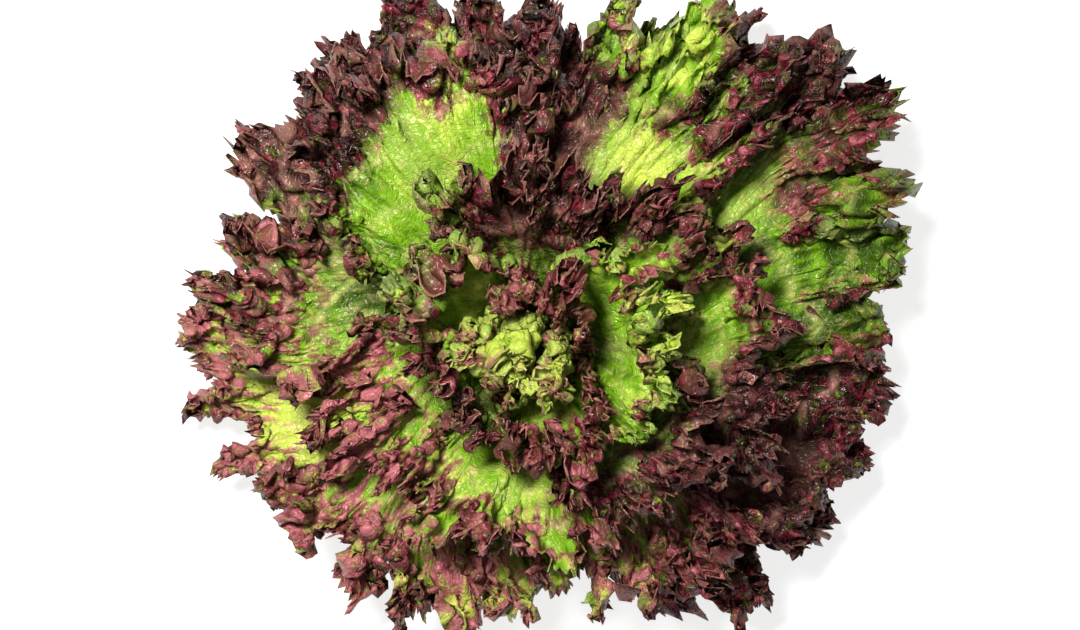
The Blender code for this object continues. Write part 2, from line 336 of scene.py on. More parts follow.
def soft_noise(facts, across, up, size, draw):
    """A sum of sine waves of about one size in seeded directions, mostly between -1 and 1."""
    draws = np.random.default_rng(1000 * facts["index"] + draw)
    total = np.zeros(np.broadcast(across, up).shape)
    for _ in range(NOISE_WAVES):
        angle, phase = draws.uniform(0, 2 * math.pi, 2)
        length = size * draws.uniform(0.7, 1.5)
        total += np.sin(2 * math.pi * (across * np.cos(angle) + up * np.sin(angle)) / length + phase)
    return total / NOISE_HEIGHT


def wander(facts, column, turns, reach, draw):
    """A slow phase shift: two sines round the margin, which make repeats uneven."""
    first = np.sin(2 * math.pi * turns * column + facts["phase"] * draw)
    second = np.sin(2 * math.pi * turns * 2.7 * column + facts["swell"] * draw)
    return reach * (first + 0.6 * second)


ten_places = soft_noise(first_leaf, np.linspace(0, 0.1, 10), 0.0, 0.03, 2)
print("noise at ten places of the first leaf:", np.round(ten_places, 1))

# %% Cuts of the margin
OUTER_LOBE_DEPTH = 0.190  # shares of a leaf's length
LOBE_DEPTH = 0.120
FINGER_WIDTH = 0.0050  # metres along the ruffled margin
FINGER_DEPTH = 0.0042
TOOTH_DEPTH = 0.0022  # a tooth is two columns of the mesh wide


def margin_cut(facts, column, out):
    """Share of the length cut off: a round sinus for each frill, then fingers, then teeth."""
    turn = 2 * math.pi * facts["frills"] * column
    along = frilled_metres(facts, column)
    uneven = 0.80 + 0.35 * np.sin(2 * math.pi * 3.7 * column + facts["swell"])
    near_sinus = np.abs(np.cos(0.5 * turn + wander(facts, column, 4.0, 0.35, 2.0)))
    deepest = OUTER_LOBE_DEPTH if facts["index"] < OUTER_LEAVES else LOBE_DEPTH
    sinus = deepest * uneven * smooth_step(0.52, 0.97, near_sinus) * smooth_step(0.60, 1.0, out)
    fingers = math.pi * along / (FINGER_WIDTH * facts["size"])
    fingers = np.abs(np.sin(fingers + wander(facts, column, 7.0, 1.4, 3.0)))
    depth = 0.75 + 0.45 * np.sin(2 * math.pi * 5.3 * column + facts["phase"])
    teeth = np.abs(np.sin(math.pi / 2 * facts["columns"] * np.interp(column, *facts["shares"])))
    small = FINGER_DEPTH * depth * fingers**0.9 * smooth_step(0.76, 1.0, out)
    small = small + TOOTH_DEPTH * teeth * smooth_step(0.95, 1.0, out)
    return sinus + small * facts["size"] / facts["reach"]


def metres_out(facts, column, out):
    """Metres from the stem to a place of the cut blade. The cuts press the rows together."""
    return out * (1.0 - margin_cut(facts, column, out)) * facts["reach"]


print("a lobe of the first leaf is", round(1000 * OUTER_LOBE_DEPTH * first_leaf["reach"]), "mm deep")

# %% [markdown]
# The ruffles come in several sizes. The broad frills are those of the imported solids, and
# each carries about four small ones: they swing from layer to layer as far as the leaf
# has room. Near the margin the blade is then pushed along its own normal by a fine wave,
# a crumple and a curl. The rest of the blade isn't flat either: it billows, it is
# quilted between its veins, and some blades are wrinkled. A cloth simulation could make
# such ruffles too, but waves in code keep each leaf in its own room.

# %% Broad and small frills
UNEVENNESS = 0.020  # shares of the margin that frills are moved round by
MEANDER = 0.110
SWAY = 0.0024  # metres that a lobe leans to one side
FRILL_GROWTH = 2.5  # power with which the broad frills grow on their way out
FRILL_MEAN = 0.84  # share of a leaf's room that its frills take
SMALL_FRILLS = 4.3  # small frills for each broad one
SMALL_SHARE = 0.34  # of the frills' room that the small ones take
FRILL_SWELL = 0.13  # by which that share rises and falls round the leaf
SWELL_TURNS = 3.3
BLADE_SHARE = 0.16  # of the broad frill that already shows half way out
FRILL_DRIFT = 1.3  # radians that a frill's crest wanders on its way out
SMALL_DRIFT = 3.4
DRIFT_WIDTH = 0.034  # metres over which the drift comes and goes
SMALL_DRIFT_WIDTH = 0.018
SWAY_WIDTH = 0.016
EDGE_LIFT = 0.9  # steps of the spiral that the last of the blade turns up


def frill_room(facts, azimuth):
    """Room for a frill, in layers: more in a leaf's middle than where its neighbours overlap it."""
    aside = np.abs(azimuth - facts["azimuth"])
    flank = smooth_step(0.2 * facts["clear_angle"], facts["clear_angle"], aside)
    room = facts["middle_room"] + (facts["flank_room"] - facts["middle_room"]) * flank
    return np.minimum(room, min(facts["layer"], 1.0 - facts["layer"]))


def frilled_blade(facts, column, out, cut=1.0):
    """The broad frills: layer + room x swell x sin(turn) x growth, with the margin cut."""
    turn = 2 * math.pi * facts["frills"] * column
    share = column + UNEVENNESS * np.sin(2 * math.pi * column) * np.sin(facts["phase"])
    share = share + UNEVENNESS / 2 * np.sin(6 * math.pi * column) * np.cos(facts["phase"])
    out_now = np.clip(out, 0.0, 1.0)
    across, up = column * facts["margin_length"], out * facts["reach"]
    drift = FRILL_DRIFT * soft_noise(facts, across, up, DRIFT_WIDTH, 11)
    turn = turn + drift * smooth_step(0.30, 0.95, out)
    share = share - MEANDER / facts["frills"] * np.sin(2 * turn) * smooth_step(0.50, 1.0, out)
    small_drift = SMALL_DRIFT * soft_noise(facts, across, up, SMALL_DRIFT_WIDTH, 12)
    small_turn = SMALL_FRILLS * turn + small_drift
    small_meander = 0.6 * MEANDER / (SMALL_FRILLS * facts["frills"])
    share = share - small_meander * np.sin(2 * small_turn) * smooth_step(0.60, 1.0, out)
    lean = soft_noise(facts, across, 0.0 * out, SWAY_WIDTH, 8)
    share = share + SWAY / facts["margin_length"] * lean * smooth_step(0.78, 1.0, out)
    side = np.interp(share, *facts["sides"])
    swell = FRILL_MEAN + FRILL_SWELL * np.sin(2 * math.pi * SWELL_TURNS * share + facts["swell"])
    kept = 1.0 - cut * margin_cut(facts, column, out)
    layer, azimuth, along = blade_place(facts, side, out * kept)
    growth = BLADE_SHARE * out_now**FRILL_GROWTH + (1.0 - BLADE_SHARE) * smooth_step(0.62, 0.99, out)
    small = np.sin(small_turn) * smooth_step(0.58, 0.97, out)
    frill = swell * ((1.0 - SMALL_SHARE) * np.sin(turn) * growth + SMALL_SHARE * small)
    highest = min(EDGE_LIFT / STEPS_IN_ALL, 0.6 * (1.0 - facts["layer"]))
    lift = highest * smooth_step(0.84, 1.0, out) ** 1.5
    return head_point(layer + lift + frill_room(facts, azimuth) * frill, azimuth, along)


print("the first leaf has", round(SMALL_FRILLS * leaves[0]["frills"]), "small frills")

# %% Veins and fine relief
SECOND_RUFFLE = 0.0011  # metres from the middle to the crest
SECOND_WIDTH = 0.0072  # metres from crest to crest
CRUMPLE = 0.0016
CRUMPLE_WIDTH = 0.0078
CURL = 0.0044
CURL_WIDTH = 0.014
BILLOW = 0.0022
BILLOW_WIDTH = 0.032
QUILT = 0.0009
QUILT_WIDTH = 0.010
WRINKLE = 0.0007
WRINKLE_WIDTH = 0.0032
WRINKLE_STRETCH = 0.25  # a wrinkle is four times as long as it is wide
RUFFLED_FAR = {1: -0.10, 8: 0.16, 10: 0.14}  # shares of the length by which some ruffle further in
VEINY = {1: 1.0, 4: 0.8, 6: 1.0, 7: 0.6, 12: 0.8}  # leaves whose blades are wrinkled most
VEIN_DEPTH = 0.0006
VEIN_PAIRS = 7
VEIN_SWEEP = 2.1  # how steeply the side veins leave the midrib


def vein_lines(facts, column, out):
    """Side veins: ridges where 7 x (out - |side| / sweep) is a whole number, thinner outwards."""
    aside = np.abs(2 * column - 1)
    lane = VEIN_PAIRS * (out - aside / VEIN_SWEEP) + 0.35 * (column > 0.5) + 0.04 * facts["index"]
    distance = np.abs(lane - np.round(lane))
    width = 0.10 - 0.05 * out
    ridge = np.exp(-((distance / width) ** 2))
    return ridge * smooth_step(0.02, 0.10, aside) * smooth_step(1.0, 0.75, out)


def midrib(column, out):
    """The midrib's profile: a bell across the blade that narrows and sinks outwards."""
    width = 0.20 - 0.13 * np.clip(out, 0, 1) ** 0.7
    return np.exp(-(((2 * column - 1) / width) ** 2)) * (1 - np.clip(out, 0, 1)) ** 1.1


def second_wave(facts, column, out):
    """The middle ruffle: a sine round the margin whose crests slant, drift and fork outwards."""
    along = frilled_metres(facts, column)
    drift = 2.2 * soft_noise(facts, along, metres_out(facts, column, out), 0.030, 5)
    slant = 8.0 * out * np.sin(2 * math.pi * 2.3 * column + facts["phase"])
    return np.sin(2 * math.pi * along / (SECOND_WIDTH * facts["size"]) + drift + slant)


def fine_height(facts, column, out):
    """Metres along the normal: wave + crumple + curl + billow + quilt + wrinkle - veins."""
    across, up = column * facts["margin_length"], metres_out(facts, column, out)
    along = frilled_metres(facts, column)
    uneven = 0.75 + 0.35 * np.sin(2 * math.pi * 7.7 * column + facts["phase"])
    size = facts["size"]
    inner = out + RUFFLED_FAR.get(facts["index"], 0.0)
    wave = SECOND_RUFFLE * second_wave(facts, column, out) * uneven
    wave = wave * smooth_step(0.55, 0.96, inner)
    crumple = CRUMPLE * soft_noise(facts, along, up, CRUMPLE_WIDTH * size, 9)
    crumple = crumple * smooth_step(0.45, 0.92, inner)
    curl = CURL * soft_noise(facts, along, up, CURL_WIDTH * size, 6)
    curl = curl * smooth_step(0.66, 1.0, inner) ** 1.3
    billow = BILLOW * soft_noise(facts, across, up, BILLOW_WIDTH, 10)
    billow = billow * smooth_step(0.25, 0.65, out)
    quilt = QUILT * soft_noise(facts, across, up, QUILT_WIDTH, 1) * smooth_step(0.08, 0.45, out)
    wrinkle = WRINKLE * VEINY.get(facts["index"], 0.3) * smooth_step(0.15, 0.5, out)
    wrinkle = wrinkle * soft_noise(facts, across, WRINKLE_STRETCH * up, WRINKLE_WIDTH, 7)
    veins = VEIN_DEPTH * vein_lines(facts, column, out)
    return (wave + crumple + curl) * size + billow + quilt + wrinkle - veins


print("the fine wave has a crest every", round(1000 * SECOND_WIDTH, 1), "mm of margin")

# %% [markdown]
# The fine relief is pushed out along the blade's normals, and these are first averaged
# along the row, because the true normals of a tight frill cross each other.

# %% The ruffled blade
SLOPE_STEP_ROUND = 0.0004  # shares of a row and of a column between which slopes are read
SLOPE_STEP_OUT = 0.002
SOFT_SHARE = 0.015  # of a row's columns, either side, that turn a ruffle's direction


def normals(facts, column, out):
    """Unit normals of the frilled blade: the cross product of its slopes outwards and round."""
    after = frilled_blade(facts, column + SLOPE_STEP_ROUND, out)
    before = frilled_blade(facts, column - SLOPE_STEP_ROUND, out)
    outside = frilled_blade(facts, column, out + SLOPE_STEP_OUT)
    inside = frilled_blade(facts, column, out - SLOPE_STEP_OUT)
    upright = np.cross(outside - inside, after - before)
    return upright / np.maximum(np.linalg.norm(upright, axis=-1, keepdims=True), 1e-12)


def softened(directions, counts):
    """Unit directions averaged along each row under a cosine window, a small share of it wide."""
    soft = np.empty_like(directions)
    starts = np.concatenate([[0], np.cumsum(np.array(counts) + 1)])
    for start, count in zip(starts, counts):
        half = max(1, round(SOFT_SHARE * count))
        window = np.hanning(2 * half + 3)
        row = np.pad(directions[start:start + count + 1], ((half + 1, half + 1), (0, 0)), mode="edge")
        for axis in range(3):
            soft[start:start + count + 1, axis] = np.convolve(row[:, axis], window, mode="valid")
    return soft / np.maximum(np.linalg.norm(soft, axis=-1, keepdims=True), 1e-12)


def ruffled_blade(facts, column, out, counts):
    """The middle of a leaf: its frilled blade pushed along softened normals by the fine relief."""
    directions = softened(normals(facts, column, out), counts)
    return frilled_blade(facts, column, out) + directions * fine_height(facts, column, out)[:, None]


print("normals are averaged over", round(200 * SOFT_SHARE), "hundredths of a row")

# %% [markdown]
# The mesh of a leaf is fine where the ruffles are and coarse where the blade is plain.
# Its rows fall into five bands, and each band has twice the columns of the one before.
# The columns lie evenly along the ruffled margin, or its steepest ruffles would get the
# longest faces. The leaf is a closed solid: an upper skin, a lower skin and a rim. The
# midrib stands out on the lower skin, as it does on a real leaf.

# %% Rows and faces of a leaf
BANDS = (  # (ends at, rows, share of the columns)
    (0.30, 3, 16),
    (0.52, 4, 8),
    (0.70, 8, 4),
    (0.89, 13, 2),
    (1.0, 10, 1),
)
ROOT_OVERLAP = -0.03  # the leaf starts this far inside the stem, as a share of its length
MARGIN_COLUMNS = {"outer": 576, "middle": 480, "inner": 352}


def leaf_rows(columns):
    """The place of every row from the stem to the margin, and its number of columns."""
    places, counts = [ROOT_OVERLAP], [columns // BANDS[0][2]]
    for end, rows, share in BANDS:
        steps = np.linspace(places[-1], end, rows + 1)[1:]
        places += list(steps)
        counts += [columns // share] * rows
    return places, counts


def skin_faces(counts):
    """Arrays of quads between equal rows, and of three triangles where a row has twice as many."""
    blocks, start = [], 0
    for low, high in zip(counts, counts[1:]):
        above = start + low + 1
        i = np.arange(low)
        left, right = start + i, start + i + 1
        if high == low:
            blocks.append(np.stack([left, above + i, above + i + 1, right], axis=1))
        else:
            middle = above + 2 * i + 1
            blocks.append(np.stack([left, middle - 1, middle], axis=1))
            blocks.append(np.stack([left, middle, right], axis=1))
            blocks.append(np.stack([right, middle, middle + 1], axis=1))
        start = above
    return blocks


def listed(blocks):
    """The faces of several arrays in one list, as from_pydata takes them."""
    faces = []
    for block in blocks:
        faces += block.tolist()
    return faces


def rim_loop(counts):
    """The skin's boundary: inner row backwards, left ends, margin, right ends backwards."""
    starts = np.concatenate([[0], np.cumsum(np.array(counts) + 1)])
    inner = np.arange(counts[0], 0, -1)
    left = starts[:-1]
    margin = starts[-2] + np.arange(1, counts[-1])
    right = (starts[1:] - 1)[::-1]
    return np.concatenate([inner, left, margin, right[:-1]])


row_counts = leaf_rows(MARGIN_COLUMNS["outer"])[1]
print("an outer leaf has", len(row_counts), "rows of", row_counts[0], "to", row_counts[-1], "columns")

# %% Skins, rim and columns of a leaf
MEASURED_ROWS = (0.86, 0.94, 1.0)  # rows whose lengths space the columns


def mesh_normals(points, blocks):
    """Unit normals at the points of a surface, read from a mesh that is then thrown away."""
    mesh = bpy.data.meshes.new("surface")
    mesh.from_pydata(points.tolist(), [], listed(blocks))
    found = np.empty(3 * len(points), np.float32)
    mesh.vertex_normals.foreach_get("vector", found)
    bpy.data.meshes.remove(mesh)
    return found.reshape(-1, 3)


def closed_leaf(name, upper, lower, blocks, counts):
    """A solid from two smooth skins with the same faces, and a flat rim of quads between them."""
    below = [block[:, ::-1] + len(upper) for block in blocks]
    loop = rim_loop(counts)
    following = np.roll(loop, -1)
    rim = np.stack([following, loop, loop + len(upper), following + len(upper)], axis=1)
    mesh = bpy.data.meshes.new(name)
    points = np.concatenate([upper, lower]).tolist()
    mesh.from_pydata(points, [], listed(blocks + below + [rim]))
    mesh.update()
    smooth = len(mesh.polygons) - len(rim)
    mesh.polygons.foreach_set("use_smooth", [True] * smooth + [False] * len(rim))
    return mesh


def ruffled_lengths(facts):
    """Columns, and the share of the ruffled margin before each: the mean of three rows near it."""
    column = np.linspace(0, 1, FINE_COLUMNS)
    lengths = np.zeros(len(column))
    for place in MEASURED_ROWS:
        row = ruffled_blade(facts, column, np.full_like(column, place), [len(column) - 1])
        steps = np.linalg.norm(np.diff(row, axis=0), axis=1)
        lengths[1:] += np.cumsum(steps) / steps.sum()
    return column, lengths / lengths[-1]


def leaf_grid(facts):
    """Column and row of every vertex of a skin, even along the ruffled margin, and the row counts."""
    places, counts = leaf_rows(facts["columns"])
    columns, shares = facts["shares"]
    even = np.concatenate([np.linspace(0, 1, count + 1) for count in counts])
    column = np.interp(even, shares, columns)
    out = np.concatenate([np.full(count + 1, place) for place, count in zip(places, counts)])
    return column, out, counts


print("the rim of an outer leaf has", len(rim_loop(row_counts)), "faces")

# %% [markdown]
# The colour of a leaf follows its growth. The green blade is there everywhere. The red
# is a pigment that the light brings out, so it sits on the ruffled margin of the outer
# leaves, reaches far in on some and hardly shows on the leaves that others covered.
# Each leaf has its own share of red, a glow (0 is nearly black, 1 is pink) and a tint of
# green (0 is deep, 1 is yellow), outermost leaf first. Soft patches of the plan then make
# some places greener or redder, lighter or darker; the darkening ones are painted shade.
# All of these are given here. The results are written on the mesh as attributes, because
# the pattern follows the surface.

# %% Tints and patches of the leaves
RED_SHARE = (
    0.50, 0.40, 0.54, 0.50, 0.48, 0.20, 0.46, 0.40, 0.30, 0.46, 0.42, 0.34, 0.30,
    0.48, 0.42, 0.50, 0.66, 0.40, 0.14, 0.30, 0.50, 0.44, 0.26, 0.34, 0.20, 0.20,
)
GLOW = (
    0.00, 0.68, 0.02, 0.00, 0.56, 0.33, 0.27, 0.42, 0.28, 0.60, 0.33, 0.27, 0.42,
    0.04, 0.56, 0.06, 0.02, 0.46, 0.40, 0.40, 0.28, 0.45, 0.60, 0.50, 0.60, 0.60,
)
GREEN_TINT = (
    0.30, 0.90, 0.25, 0.30, 0.50, 0.36, 0.40, 0.50, 0.70, 0.50, 0.40, 0.75, 0.60,
    0.35, 0.30, 0.30, 0.30, 0.50, 0.60, 0.75, 0.60, 0.70, 0.95, 0.90, 1.00, 1.00,
)
# In the last column a positive value lightens a leaf's tone, and a negative one is painted shade for
# the gaps and shaded places between leaves.
PATCHES = (  # (x, y, reach, greener, lighter)
    (-0.038, 0.058, 0.030, 1.1, -0.12),
    (-0.060, 0.090, 0.024, -0.6, -0.2),
    (-0.082, 0.060, 0.028, -0.5, -0.2),
    (-0.078, 0.084, 0.030, -0.6, -0.3),
    (0.020, 0.085, 0.028, -0.6, -0.35),
    (0.056, 0.080, 0.018, -0.8, -0.3),
    (0.050, 0.106, 0.032, 1.6, 0.0),
    (0.122, 0.036, 0.030, 1.0, -0.42),
    (0.096, 0.050, 0.018, -0.9, 0.10),
    (0.106, 0.008, 0.022, -0.2, -0.30),
    (0.034, 0.062, 0.016, 1.0, 0.5),
    (-0.064, 0.062, 0.020, -0.5, -0.25),
    (-0.020, -0.100, 0.026, 0.4, 0.35),
    (-0.004, -0.070, 0.018, -0.3, 0.0),
    (-0.030, -0.050, 0.016, -0.3, 0.1),
    (0.065, 0.040, 0.018, 0.6, 0.0),
    (0.091, -0.004, 0.016, 0.5, -0.2),
    (0.052, 0.003, 0.026, 1.0, 0.35),
    (0.028, -0.004, 0.018, 0.0, -0.4),
    (0.015, 0.045, 0.014, 0.0, -0.9),
    (-0.010, -0.056, 0.016, 0.5, 0.0),
    (-0.020, 0.012, 0.020, 0.3, 0.1),
    (0.000, -0.008, 0.024, 1.1, 0.3),
    (-0.049, 0.018, 0.026, 0.7, -0.65),
    (-0.075, 0.050, 0.032, 0.5, -0.3),
    (-0.095, -0.020, 0.030, 0.18, 0.12),
    (-0.070, -0.028, 0.026, 0.25, 0.50),
    (0.014, -0.096, 0.032, 0.7, 0.35),
    (-0.030, 0.109, 0.012, 0.8, 0.3),
    (0.004, 0.106, 0.028, -0.8, -0.55),
    (0.102, 0.095, 0.038, -0.8, -0.65),
    (0.006, 0.064, 0.028, -0.8, -0.60),
    (-0.073, 0.100, 0.034, -0.5, -0.50),
    (0.078, -0.060, 0.042, -0.4, -0.20),
    (0.074, -0.025, 0.024, -0.5, -0.90),
    (-0.020, -0.026, 0.015, 0.0, -0.90),
)
GREENER, TONE_AND_PAINTED_GAP_SHADE = 3, 4  # places in a patch


def patched(points, strength):
    """A bell round each patch of the plan, times its strength, added up."""
    total = np.zeros(len(points))
    for patch in PATCHES:
        square = (points[:, 0] - patch[0]) ** 2 + (points[:, 1] - patch[1]) ** 2
        total += patch[strength] * np.exp(-square / (0.5 * patch[2] ** 2))
    return total


print(len(RED_SHARE), "leaves are tinted, with", len(PATCHES), "soft patches over them")

# %% Colours at each place of a leaf
REDDEST = 0.80  # leaves a little of the green to show through
STREAK_REDNESS = 0.60
# Painted rim light: a narrow band at each margin is mixed toward the pale vein colour, as a highlight
# and as light through the thin edge.
PAINTED_RIM_LIGHT = {"outer": 0.35, "middle": 0.60, "inner": 0.90}


def leaf_colours(facts, column, out, points):
    """From 0 to 1: red steps up on the way out; tone and tint follow noise, darkened as painted shade
    in valleys.
    """
    index = facts["index"]
    across, up = column * facts["margin_length"], metres_out(facts, column, out)
    cloud = soft_noise(facts, across, up, 0.030, 2)
    mottle = soft_noise(facts, across, up, 0.009, 3)
    start = 1.0 - RED_SHARE[index]
    first = np.sin(2 * math.pi * facts["frills"] * column)
    second = second_wave(facts, column, out)
    width = CRUMPLE_WIDTH * facts["size"]
    rumple = soft_noise(facts, frilled_metres(facts, column), up, width, 9)
    crest = (0.10 * first + 0.06 * second + 0.08 * rumple) * smooth_step(0.5, 0.9, out)
    place = out + crest + 0.10 * cloud + 0.10 * mottle
    greener = patched(points, GREENER) * (1.0 - 0.45 * smooth_step(0.90, 1.0, out))
    # A lighter tone, and painted shade where the patches darken the gaps between leaves.
    tone_and_painted_gap_shade = patched(points, TONE_AND_PAINTED_GAP_SHADE)
    red = smooth_step(start - 0.12, start + 0.40, place) - greener
    streaks = soft_noise(facts, across, WRINKLE_STRETCH * up, WRINKLE_WIDTH, 7)
    streaks = streaks * smooth_step(0.15, 0.5, out)
    red = red + STREAK_REDNESS * VEINY.get(index, 0.0) * streaks
    vein_and_painted_rim_light = np.maximum(vein_lines(facts, column, out) * 0.8, midrib(column, out))
    vein_and_painted_rim_light = vein_and_painted_rim_light + 0.5 * VEINY.get(index, 0.0) * smooth_step(0.0, 0.8, streaks)
    # The painted rim light rides on the vein value.
    vein_and_painted_rim_light = np.maximum(vein_and_painted_rim_light, PAINTED_RIM_LIGHT[ring_of(index)[0]] * smooth_step(0.988, 1.0, out))
    # Painted shade: the valleys of the ruffles are darkened and their crests lightened, in the tone
    # of the red and the tint of the green.
    depth = (0.18 * second + 0.34 * rumple + 0.12 * first) * smooth_step(0.5, 0.9, out)
    uneven = 0.20 * soft_noise(facts, across, up, 0.022, 4) + 0.16 * mottle
    tone_and_painted_shade = np.clip(GLOW[index] + uneven + depth + tone_and_painted_gap_shade, 0, 1)
    tint_and_painted_shade = GREEN_TINT[index] + 0.15 * cloud + 0.10 * mottle + depth + 0.15 * (out - 0.5)
    tint_and_painted_shade = np.clip(tint_and_painted_shade + tone_and_painted_gap_shade, 0, 1)
    return {"red": np.clip(red, 0, REDDEST), "tone_and_painted_shade": tone_and_painted_shade, "tint_and_painted_shade": tint_and_painted_shade, "vein_and_painted_rim_light": np.clip(vein_and_painted_rim_light, 0, 1)}


def write_attributes(mesh, values):
    """One number at each vertex under each name."""
    for name, array in values.items():
        layer = mesh.attributes.new(name, "FLOAT", "POINT")
        layer.data.foreach_set("value", array.astype(np.float32))


def write_uv(mesh, across, up):
    """The flat map of the blade, with a pair of coordinates for each corner of a face."""
    corners = np.empty(len(mesh.loops), np.int32)
    mesh.loops.foreach_get("vertex_index", corners)
    layer = mesh.uv_layers.new(name="blade")
    flat = np.stack([across[corners], up[corners]], axis=1)
    layer.data.foreach_set("uv", flat.astype(np.float32).ravel())


print("no place of a leaf is redder than", REDDEST)

# %% [markdown]
# Leaf tissue is thin and full of water. Light strikes through it, which is why the
# shaded green looks so bright and warm. The finishes of all three rings share one
# pattern of colour, so it is built once, as a node group. A few helpers come first.


# %% Node helpers
def add_node(tree, kind, inputs=(), **settings):
    """A node with its settings, and a value or a link for each named input."""
    node = tree.nodes.new(kind)
    for name, value in settings.items():
        setattr(node, name, value)
    for key, value in dict(inputs).items():
        if isinstance(value, bpy.types.NodeSocket):
            tree.links.new(value, node.inputs[key])
        else:
            node.inputs[key].default_value = value
    return node


def mixed(tree, factor, first, second, blend="MIX"):
    """A colour mixed from two others."""
    node = add_node(tree, "ShaderNodeMix", data_type="RGBA", blend_type=blend)
    for place, value in ((0, factor), (6, first), (7, second)):
        if isinstance(value, bpy.types.NodeSocket):
            tree.links.new(value, node.inputs[place])
        else:
            node.inputs[place].default_value = value
    return node.outputs[2]


def stepped(tree, value, low, high, first=0.0, second=1.0):
    """A smooth step of a value between two limits."""
    node = add_node(tree, "ShaderNodeMapRange", {0: value, 1: low, 2: high, 3: first, 4: second})
    node.interpolation_type = "SMOOTHSTEP"
    return node.outputs[0]


def maths(tree, operation, first, second):
    """One sum of two values."""
    return add_node(tree, "ShaderNodeMath", {0: first, 1: second}, operation=operation).outputs[0]


def swung(tree, pattern, strength):
    """A pattern from 0 to 1 made to swing round nought: (pattern - 0.5) x strength."""
    return maths(tree, "MULTIPLY", maths(tree, "SUBTRACT", pattern, 0.5), strength)


def noise(tree, place, scale, detail, distortion=0.0):
    """A noise pattern from 0 to 1."""
    values = {"Vector": place, "Scale": scale, "Detail": detail, "Distortion": distortion}
    return add_node(tree, "ShaderNodeTexNoise", values).outputs[0]


# %% [markdown]
# The colour is laid on as a leaf grows it: greens from deep to yellow, then bronze and
# burgundy where there is red, then pale veins and a net of fine ones. Over these lie
# painted shade and light: the colour is darker in the hollows of the pucker and lighter
# on its swellings, and the pale vein colour also paints a rim light along each margin.
# The streaks of the blade follow the leaf's own map. The pucker, the net and the grain
# are laid out in space, because on the map they would stretch along the frills.

# %% Colours and scales of leaf tissue
DEEP_GREEN = (0.028, 0.085, 0.002, 1)
FRESH_GREEN = (0.19, 0.42, 0.008, 1)
YELLOW_GREEN = (0.55, 0.68, 0.08, 1)
DARK_BRONZE = (0.030, 0.022, 0.002, 1)
PALE_BRONZE = (0.58, 0.52, 0.12, 1)
# Nearly black is the darkest wine of the leaves, and also the painted shade that valleys and gaps are
# darkened to.
NEARLY_BLACK = (0.007, 0.001, 0.002, 1)
WINE_RED = (0.150, 0.008, 0.022, 1)
# The rose of the palest red leaves, and a painted highlight where the pucker's swellings lift the
# tone.
ROSE_AND_PAINTED_HIGHLIGHT = (0.60, 0.18, 0.20, 1)
# Pale colours of the veins and of the painted rim light along the margins.
GREEN_VEIN_AND_PAINTED_RIM_LIGHT = (0.64, 0.66, 0.18, 1)
PINK_VEIN_AND_PAINTED_RIM_LIGHT = (0.58, 0.24, 0.20, 1)
DUSTY_GREEN = (0.36, 0.44, 0.12, 1)
DUSTY_RED = (0.22, 0.06, 0.055, 1)
SUNLIT_GREEN = (0.62, 0.78, 0.10, 1)
STREAK_SCALE = 36.0
PUCKER_SCALE = 230.0  # about 4 mm from one swelling to the next
CELL_SCALE = 420.0
GRAIN_SCALE = 900.0
print("the tissue puckers every", round(1000 / PUCKER_SCALE, 1), "mm")


